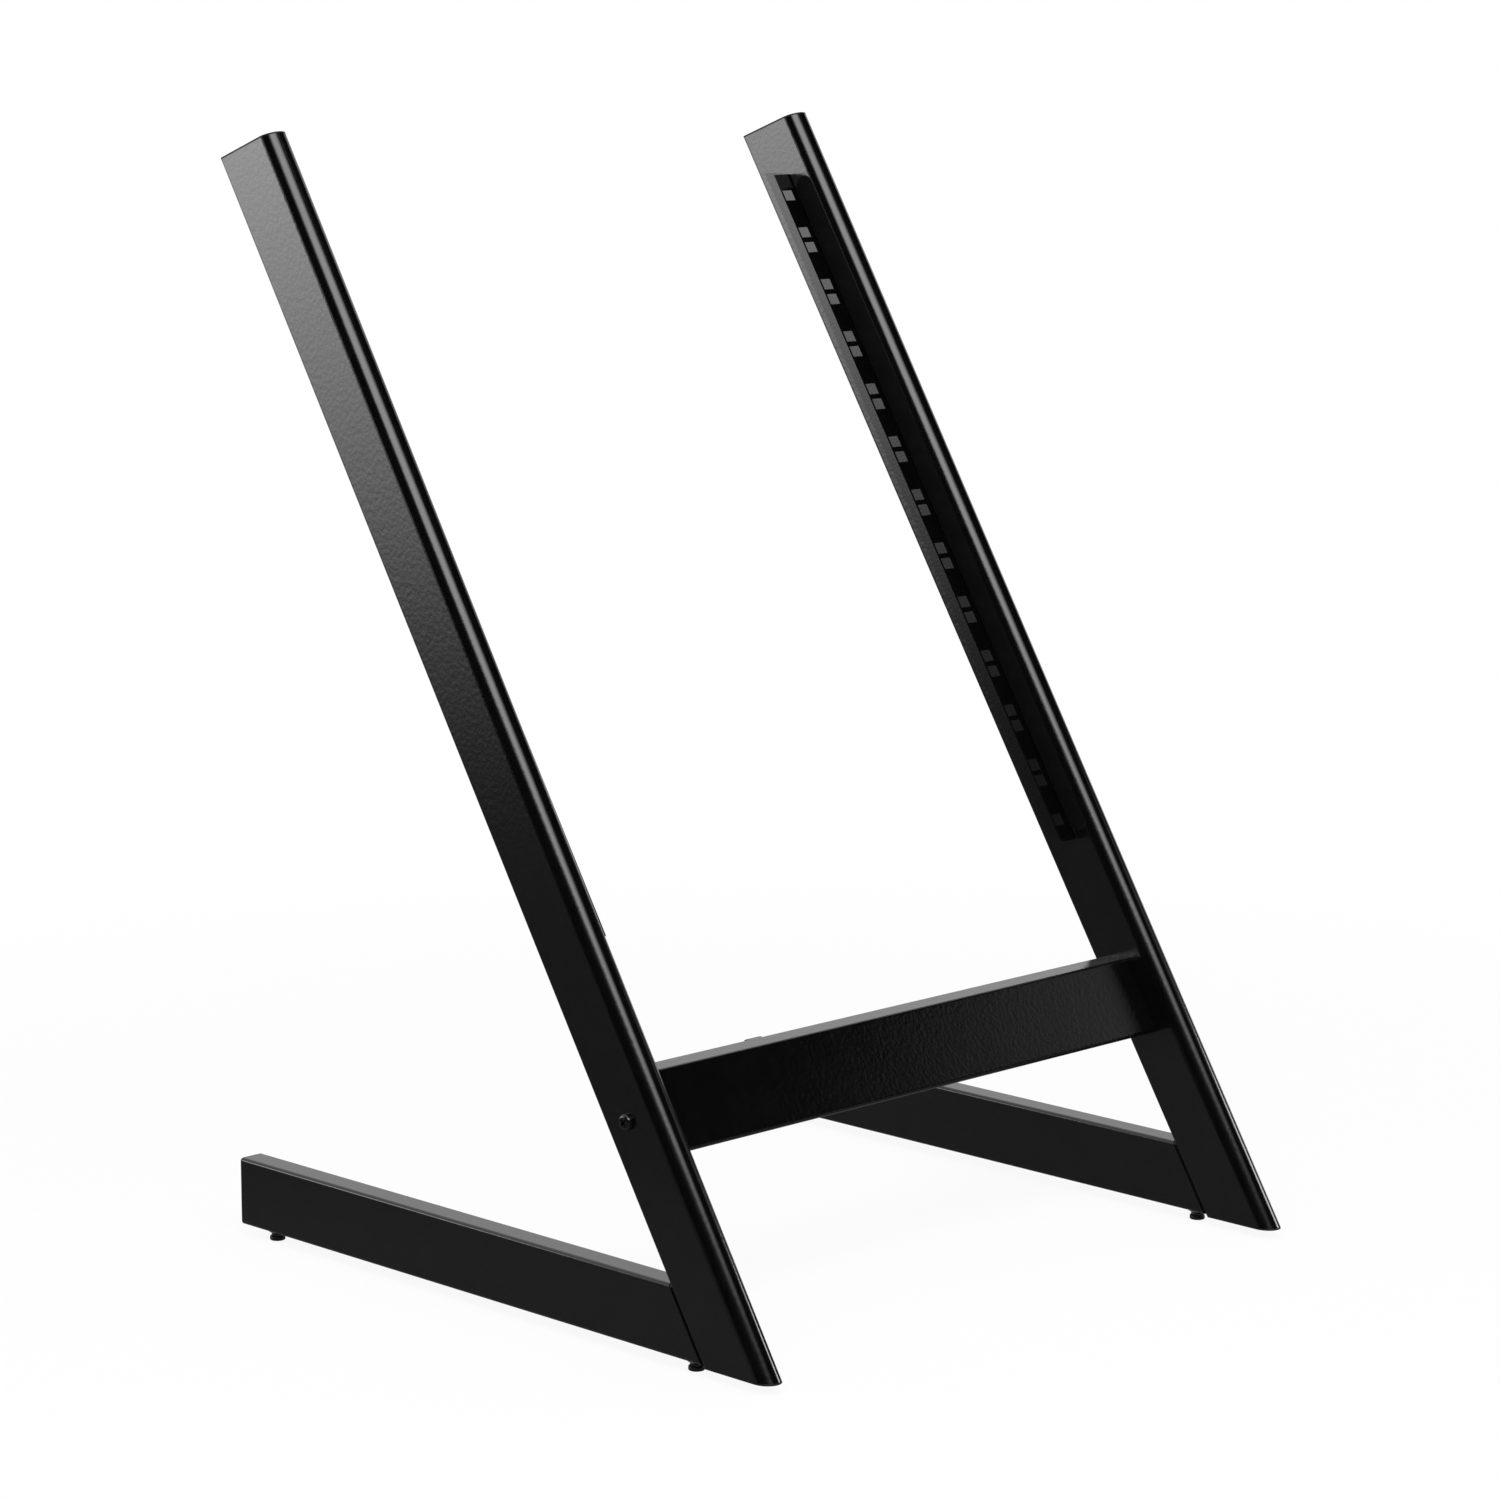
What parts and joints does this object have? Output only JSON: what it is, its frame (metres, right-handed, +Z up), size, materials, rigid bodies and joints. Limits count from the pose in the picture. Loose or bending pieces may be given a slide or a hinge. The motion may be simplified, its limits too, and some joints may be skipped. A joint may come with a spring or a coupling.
{
  "type": "studio rack stand",
  "caption": "Leaning floor stand for 19 inch studio equipment: two round-nosed uprights on long feet, joined by a crossbar, with square-hole rack rails and screw levellers.",
  "frame": {"origin": "on the floor under the middle of the footprint", "axes": "+X to the stand's right seen from the front, +Y to the back, +Z up"},
  "size_m": [0.533, 0.531, 0.7827],
  "materials": {
    "powder_coat": "fine-textured semi-gloss black powder coat",
    "rail_coat": "black powder coat",
    "cap_plastic": "black moulded plastic",
    "pad_plastic": "black moulded glide",
    "zinc_steel": "bright zinc plate",
    "black_screw": "glossy black plated steel"
  },
  "bodies": {
    "frame": {"left_upright": "powder_coat", "left_upright_top_plug": "cap_plastic", "left_upright_bottom_plug": "cap_plastic", "left_foot": "powder_coat", "left_foot_joint_plate": "powder_coat", "left_foot_end_cap": "cap_plastic", "left_rack_rail": "rail_coat", "left_crossbar_end_plate": "powder_coat", "left_crossbar_bush": "zinc_steel", "left_crossbar_screw": "black_screw", "left_screw_sleeve": "zinc_steel", "right_upright": "powder_coat", "right_upright_top_plug": "cap_plastic", "right_upright_bottom_plug": "cap_plastic", "right_foot": "powder_coat", "right_foot_joint_plate": "powder_coat", "right_foot_end_cap": "cap_plastic", "right_rack_rail": "rail_coat", "right_crossbar_end_plate": "powder_coat", "right_crossbar_bush": "zinc_steel", "right_crossbar_screw": "black_screw", "right_screw_sleeve": "zinc_steel", "crossbar": "powder_coat", "crossbar_locating_pins": "zinc_steel", "left_front_leveller_insert": "zinc_steel", "left_rear_leveller_insert": "zinc_steel", "right_front_leveller_insert": "zinc_steel", "right_rear_leveller_insert": "zinc_steel"},
    "left_front_glide": {"left_front_leveller_pad": "pad_plastic"},
    "left_front_screw": {"left_front_leveller_stud": "black_screw"},
    "left_rear_glide": {"left_rear_leveller_pad": "pad_plastic"},
    "left_rear_screw": {"left_rear_leveller_stud": "black_screw"},
    "right_front_glide": {"right_front_leveller_pad": "pad_plastic"},
    "right_front_screw": {"right_front_leveller_stud": "black_screw"},
    "right_rear_glide": {"right_rear_leveller_pad": "pad_plastic"},
    "right_rear_screw": {"right_rear_leveller_stud": "black_screw"}
  },
  "joints": [
    {"name": "left_front_leveller_height", "type": "slide", "parent": "frame", "child": "left_front_glide", "axis": [0, 0, -1], "range_m": [-0.001, 0.01]},
    {"name": "left_front_leveller_turn", "type": "hinge", "parent": "left_front_glide", "child": "left_front_screw", "pos_m": [-0.2525, -0.19073, 0], "axis": [0, 0, -1], "range_deg": [-420, 3660]},
    {"name": "left_rear_leveller_height", "type": "slide", "parent": "frame", "child": "left_rear_glide", "axis": [0, 0, -1], "range_m": [-0.001, 0.01]},
    {"name": "left_rear_leveller_turn", "type": "hinge", "parent": "left_rear_glide", "child": "left_rear_screw", "pos_m": [-0.2525, 0.23677, 0], "axis": [0, 0, -1], "range_deg": [-420, 3660]},
    {"name": "right_front_leveller_height", "type": "slide", "parent": "frame", "child": "right_front_glide", "axis": [0, 0, -1], "range_m": [-0.001, 0.01]},
    {"name": "right_front_leveller_turn", "type": "hinge", "parent": "right_front_glide", "child": "right_front_screw", "pos_m": [0.2525, -0.19073, 0], "axis": [0, 0, -1], "range_deg": [-420, 3660]},
    {"name": "right_rear_leveller_height", "type": "slide", "parent": "frame", "child": "right_rear_glide", "axis": [0, 0, -1], "range_m": [-0.001, 0.01]},
    {"name": "right_rear_leveller_turn", "type": "hinge", "parent": "right_rear_glide", "child": "right_rear_screw", "pos_m": [0.2525, 0.23677, 0], "axis": [0, 0, -1], "range_deg": [-420, 3660]}
  ],
  "couplings": [
    {"joint": "left_front_leveller_turn", "follows": "left_front_leveller_height", "rad_per_m": 6283.2},
    {"joint": "left_rear_leveller_turn", "follows": "left_rear_leveller_height", "rad_per_m": 6283.2},
    {"joint": "right_front_leveller_turn", "follows": "right_front_leveller_height", "rad_per_m": 6283.2},
    {"joint": "right_rear_leveller_turn", "follows": "right_rear_leveller_height", "rad_per_m": 6283.2}
  ]
}
